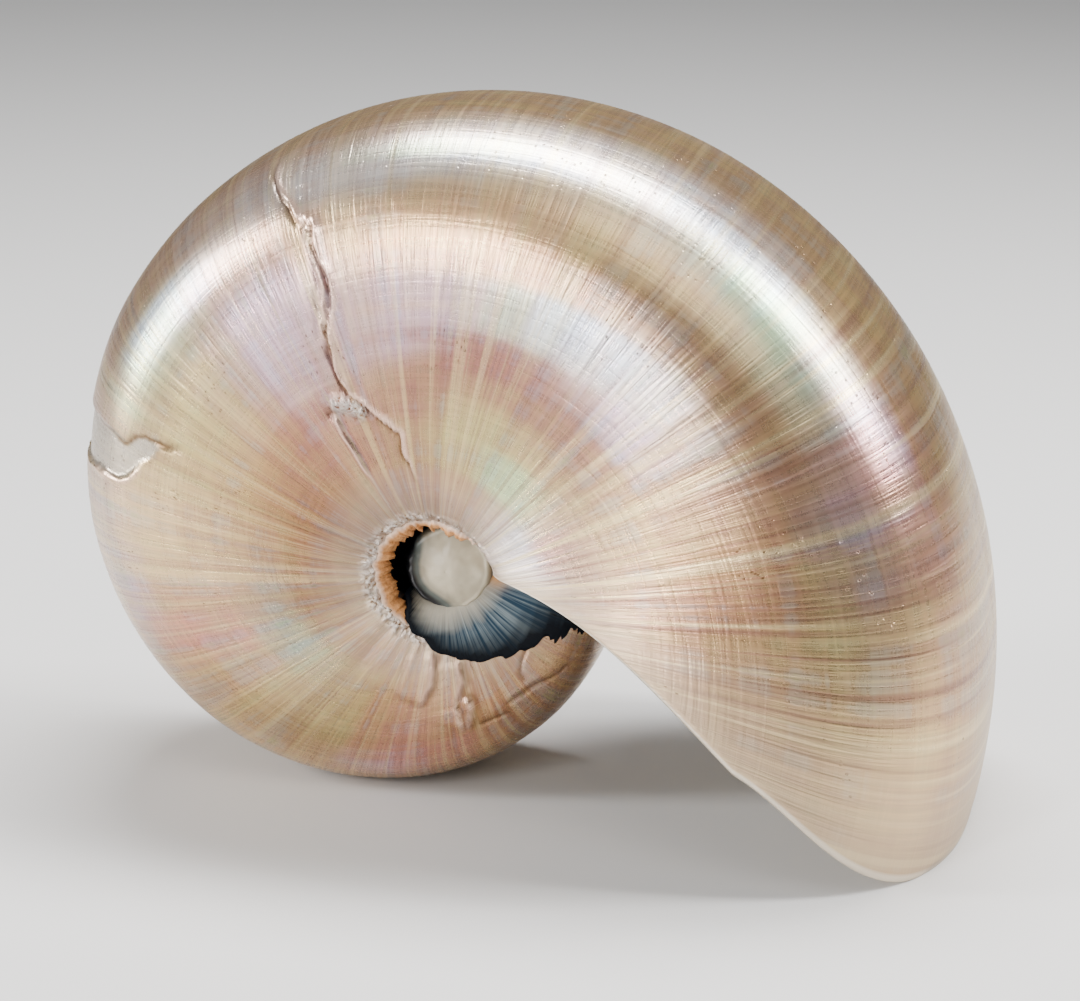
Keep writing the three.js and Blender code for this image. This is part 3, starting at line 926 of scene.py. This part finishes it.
def nacre_material():
    n = Nodes("nacre")
    at = n.attribute("shell_at", vector=True)
    parts = n.add("ShaderNodeSeparateXYZ")
    n.link(at, parts.inputs[0])
    growth_at, _, inside = parts.outputs
    younger = n.level(growth_at, -6.2, -4.6)
    # Growth lines cross the whorl and threads run along it. The weave is both together.
    growth = n.noise(n.scaled(at, (95.0, 3.0, 1.0)), 1.0, 3.0, 0.65, 0.35)
    threads = n.noise(n.scaled(at, (3.2, 110.0, 1.0)), 1.0, 3.0, 0.6, 0.5)
    brush = n.noise(n.scaled(at, (210.0, 7.0, 1.0)), 1.0, 2.0, 0.6)
    weave = n.math("MULTIPLY_ADD", growth, 0.5)
    n.link(n.math("MULTIPLY", threads, 0.5), weave.node.inputs[2])
    frost = n.math("SUBTRACT", 1.0, n.level(n.attribute("hub_mm"), 13.0, 24.0))
    frost = n.math("MULTIPLY", frost, n.level(brush, 0.3, 0.62))
    near_lip = n.math("SUBTRACT", 1.0, n.level(n.attribute("lip_mm"), 3.0, 26.0))
    rough, hole_shade, pit = n.attribute("rough"), n.attribute("hole_shade"), tiny_pits(n, at)
    crumbs = n.noise(n.add("ShaderNodeTexCoord").outputs["Object"], 1100.0, 3.0, 0.6)

    colour = striped_colour(n, at, weave)
    colour = streaked(n, at, colour, growth, threads, younger)
    colour = edged(n, colour, frost, near_lip, inside, weave)
    colour = worn(n, colour, rough, crumbs, pit)
    rich = n.add("ShaderNodeHueSaturation")
    rich.inputs["Saturation"].default_value = 1.1
    rich.inputs["Value"].default_value = 0.86
    n.link(colour, rich.inputs["Color"])
    n.link(rich.outputs[0], n.shader.inputs["Base Color"])

    gloss = n.math("MULTIPLY_ADD", weave, 0.22)
    gloss.node.inputs[2].default_value = 0.17
    gloss = n.math("ADD", gloss, n.math("MULTIPLY", n.math("MAXIMUM", rough, frost), 0.2))
    gloss = n.math("ADD", gloss, n.math("MULTIPLY", near_lip, 0.12))
    gloss = n.math("ADD", gloss, n.math("MULTIPLY", hole_shade, 0.5), clamp=True)
    n.link(gloss, n.shader.inputs["Roughness"])
    n.shader.inputs["Metallic"].default_value = 0.82
    n.shader.inputs["Coat Weight"].default_value = 0.06
    n.shader.inputs["Coat Roughness"].default_value = 0.12
    n.shader.inputs["IOR"].default_value = 1.45

    normal = n.bump(growth, 0.4, 0.0003)
    normal = n.bump(n.math("MULTIPLY", threads, younger), 0.28, 0.0002, normal)
    normal = n.bump(brush, 0.22, 0.00012, normal)
    normal = n.bump(n.math("SUBTRACT", 1.0, pit), 0.6, 0.0003, normal)
    normal = n.bump(n.math("MULTIPLY", crumbs, rough), 0.9, 0.0009, normal)
    n.link(normal, n.shader.inputs["Normal"])
    return n.material


def film_material():
    n = Nodes("dark_film")
    at = n.attribute("shell_at", vector=True)
    hub = n.attribute("hub_mm")
    streak = n.noise(n.scaled(at, (30.0, 1.2, 1.0)), 1.0, 3.0, 0.6)
    cloud = n.noise(n.scaled(at, (9.0, 4.0, 1.0)), 1.0, 2.0, 0.5)
    pale = n.mix(n.level(streak, 0.42, 0.7), FILM_BLUE, FILM_GREY)
    rim = n.math("SUBTRACT", 1.0, n.level(n.math("ADD", hub, n.math("MULTIPLY", cloud, 3.0)), 9.0, 13.0))
    pale = n.mix(n.math("MULTIPLY", rim, 0.85), pale, FILM_CREAM)
    reach = n.math("ADD", n.attribute("edge_mm"), n.math("MULTIPLY", streak, -4.0))
    black = n.math("SUBTRACT", 1.0, n.level(reach, -0.6, 4.6))
    colour = n.mix(black, pale, FILM_BLACK)
    colour = n.mix(n.attribute("rust"), colour, BROKEN_ORANGE)
    n.link(colour, n.shader.inputs["Base Color"])
    n.shader.inputs["Roughness"].default_value = 0.55
    n.shader.inputs["Specular IOR Level"].default_value = 0.07
    n.link(n.bump(streak, 0.3, 0.0003), n.shader.inputs["Normal"])
    return n.material


def plug_material():
    n = Nodes("callus")
    place_at = n.add("ShaderNodeTexCoord").outputs["Object"]
    cloud = n.noise(place_at, 160.0, 3.0, 0.5)
    colour = n.mix(cloud, CALLUS_DULL, CALLUS_PALE)
    # Painted shade: grey, then blue, then black toward the hollow beside the callus.
    shade_and_pale_rim = n.math("ADD", n.attribute("shade_and_pale_rim"), n.math("MULTIPLY", cloud, 0.2))
    shade_tone = n.ramp(shade_and_pale_rim, [(0.1, (1, 1, 1)), (0.4, PLUG_SHADE_GREY), (0.68, PLUG_SHADE_BLUE), (1.0, PLUG_SHADE_BLACK)])
    colour = n.mix(1.0, colour, shade_tone, "MULTIPLY")
    n.link(colour, n.shader.inputs["Base Color"])
    n.shader.inputs["Roughness"].default_value = 0.4
    n.link(n.bump(cloud, 0.15, 0.0004), n.shader.inputs["Normal"])
    return n.material


def broken_wall_material():
    n = Nodes("broken_wall")
    place_at = n.add("ShaderNodeTexCoord").outputs["Object"]
    grain = n.noise(place_at, 900.0, 4.0, 0.7)
    colour = n.mix(n.level(grain, 0.3, 0.7), WALL_BROWN, WALL_ORANGE)
    colour = n.mix(n.level(n.attribute("shade_and_pale_rim"), 0.0, 1.0), colour, WALL_RIM)
    n.link(colour, n.shader.inputs["Base Color"])
    n.shader.inputs["Roughness"].default_value = 0.6
    n.link(n.bump(grain, 0.6, 0.0004), n.shader.inputs["Normal"])
    return n.material


def floor_material():
    n = Nodes("pale_floor")
    n.shader.inputs["Base Color"].default_value = (*FLOOR_GREY, 1)
    n.shader.inputs["Roughness"].default_value = 0.55
    return n.material


# ---------------------------------------------------------------- pieces
def add_piece(name, built, material):
    points, faces, extras = built
    obj = make_object(name, points, faces, material, extras)
    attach(obj, "root")
    return obj


shell_built = shell_surface()
shell = add_piece("shell_nacre", shell_built, nacre_material())
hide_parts("shell")
add_piece("inner_lip_film", inner_lip_film(), film_material())
callus, broken = plug_material(), broken_wall_material()
for side, name in ((NEAR, "near"), (FAR, "far")):
    add_piece(f"callus_{name}", callus_plug(side), callus)
    flank = flank_height(shell_built[0], side)
    add_piece(f"umbilical_wall_{name}", umbilical_wall(side, flank), broken)


# ---------------------------------------------------------------- floor, light and camera
FLOOR_HALF = 9.0
MIDDLE_HEIGHT = 0.06


def add_floor():
    mesh = bpy.data.meshes.new("floor")
    corners = [(x * FLOOR_HALF, y * FLOOR_HALF, 0) for x, y in ((-1, -1), (1, -1), (1, 1), (-1, 1))]
    mesh.from_pydata(corners, [], [(0, 1, 2, 3)])
    floor = bpy.data.objects.new("floor", mesh)
    floor.data.materials.append(floor_material())
    bpy.context.scene.collection.objects.link(floor)


def aim_from(azimuth, elevation, distance):
    """A place round the shell's middle, with azimuth 0 in front (-Y) and 90 at +X."""
    a, e = math.radians(azimuth), math.radians(elevation)
    x, y, z = math.sin(a) * math.cos(e), -math.cos(a) * math.cos(e), math.sin(e)
    return (distance * x, distance * y, MIDDLE_HEIGHT + distance * z)


def add_softbox(name, place_at, size, power):
    """A rectangular lamp, metres and watts, aimed at the shell's middle."""
    light = bpy.data.lights.new(name, "AREA")
    light.shape = "RECTANGLE"
    light.size, light.size_y = size
    light.energy = power
    box = bpy.data.objects.new(name, light)
    box.location = place_at
    box.rotation_mode = "QUATERNION"
    box.rotation_quaternion = (Vector((0, 0, MIDDLE_HEIGHT)) - Vector(place_at)).to_track_quat("-Z", "Y")
    bpy.context.scene.collection.objects.link(box)


def add_world():
    world = bpy.data.worlds.new("studio")
    world.use_nodes = True
    world.node_tree.nodes["Background"].inputs[0].default_value = (0.95, 0.97, 1.0, 1)
    world.node_tree.nodes["Background"].inputs[1].default_value = 0.2
    bpy.context.scene.world = world


CAMERA_TARGET = Vector((-0.0002, 0.0, 0.0524))
CAMERA_DISTANCE = 0.6703
CAMERA_AZIMUTH = math.radians(10.9)
CAMERA_ELEVATION = math.radians(16.5)
CAMERA_ROLL = math.radians(1.03)
CAMERA_LENS = 123.7


def add_camera():
    data = bpy.data.cameras.new("camera")
    data.lens = CAMERA_LENS
    data.sensor_width = 36.0
    data.clip_start, data.clip_end = 0.01, 50
    camera = bpy.data.objects.new("camera", data)
    a, e = CAMERA_AZIMUTH, CAMERA_ELEVATION
    back = Vector((math.sin(a) * math.cos(e), -math.cos(a) * math.cos(e), math.sin(e)))
    camera.rotation_mode = "QUATERNION"
    turn = (-back).to_track_quat("-Z", "Y") @ Euler((0, 0, CAMERA_ROLL)).to_quaternion()
    camera.rotation_quaternion = turn
    camera.location = CAMERA_TARGET + CAMERA_DISTANCE * back
    bpy.context.scene.collection.objects.link(camera)
    bpy.context.scene.camera = camera


add_floor()
add_world()
add_softbox("overhead", aim_from(175, 72, 0.7), (0.55, 0.18), 11.0)
add_softbox("right_bank", aim_from(100, 38, 0.7), (0.16, 0.4), 8.5)
add_softbox("left_bank", aim_from(-68, 16, 0.7), (0.14, 0.3), 6.0)
add_softbox("front_strip", aim_from(-21, 14, 0.75), (0.09, 0.36), 4.2)
add_softbox("front_fill", aim_from(30, 50, 0.9), (0.5, 0.5), 2.0)
add_camera()
